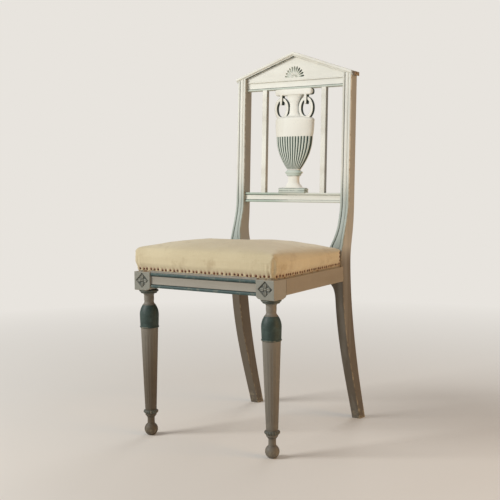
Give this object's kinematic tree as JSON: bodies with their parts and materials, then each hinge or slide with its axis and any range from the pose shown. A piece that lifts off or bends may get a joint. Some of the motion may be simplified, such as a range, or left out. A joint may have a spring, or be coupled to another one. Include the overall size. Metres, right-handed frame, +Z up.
{
  "type": "lyre back chair",
  "caption": "Painted neoclassical side chair with a pediment crest, an urn splat with ring handles, turned front legs and a muslin-covered stuffed seat.",
  "frame": {"origin": "on the floor, under the middle of the chair's bounding box", "axes": "+X to the right of someone facing the chair, +Y from the front legs to the rear legs, +Z up"},
  "size_m": [0.404, 0.463, 0.94],
  "materials": {
    "frame_paint": "worn grey-white paint on wood, green in the beads and grooves",
    "raw_wood": "bare pine",
    "screw_steel": "old steel",
    "webbing": "jute webbing",
    "hessian": "coarse jute cloth",
    "stuffing": "hair and wadding",
    "muslin": "unbleached cotton, lightly stained",
    "tack_steel": "rusty"
  },
  "bodies": {
    "root": {"front_leg_left": "frame_paint", "front_leg_right": "frame_paint", "rear_leg_left": "frame_paint", "rear_leg_right": "frame_paint", "front_rail": "frame_paint", "side_rail_left": "frame_paint", "side_rail_right": "frame_paint", "rear_rail": "frame_paint", "crossrail": "frame_paint", "architrave": "frame_paint", "pediment_panel": "frame_paint", "cornice_left": "frame_paint", "cornice_right": "frame_paint", "back_bar_left": "frame_paint", "back_bar_right": "frame_paint", "urn_splat": "frame_paint", "corner_block_front_left": "raw_wood", "corner_block_front_right": "raw_wood", "corner_block_rear_left": "raw_wood", "corner_block_rear_right": "raw_wood", "corner_block_screws": "screw_steel", "webbing_left": "webbing", "webbing_middle": "webbing", "webbing_right": "webbing", "webbing_cross_front": "webbing", "webbing_cross_middle": "webbing", "webbing_cross_rear": "webbing", "hessian": "hessian", "seat_stuffing": "stuffing", "seat_cover": "muslin", "cover_tacks_front": "tack_steel", "cover_tacks_left": "tack_steel", "cover_tacks_right": "tack_steel", "cover_tacks_rear": "tack_steel"}
  },
  "joints": []
}
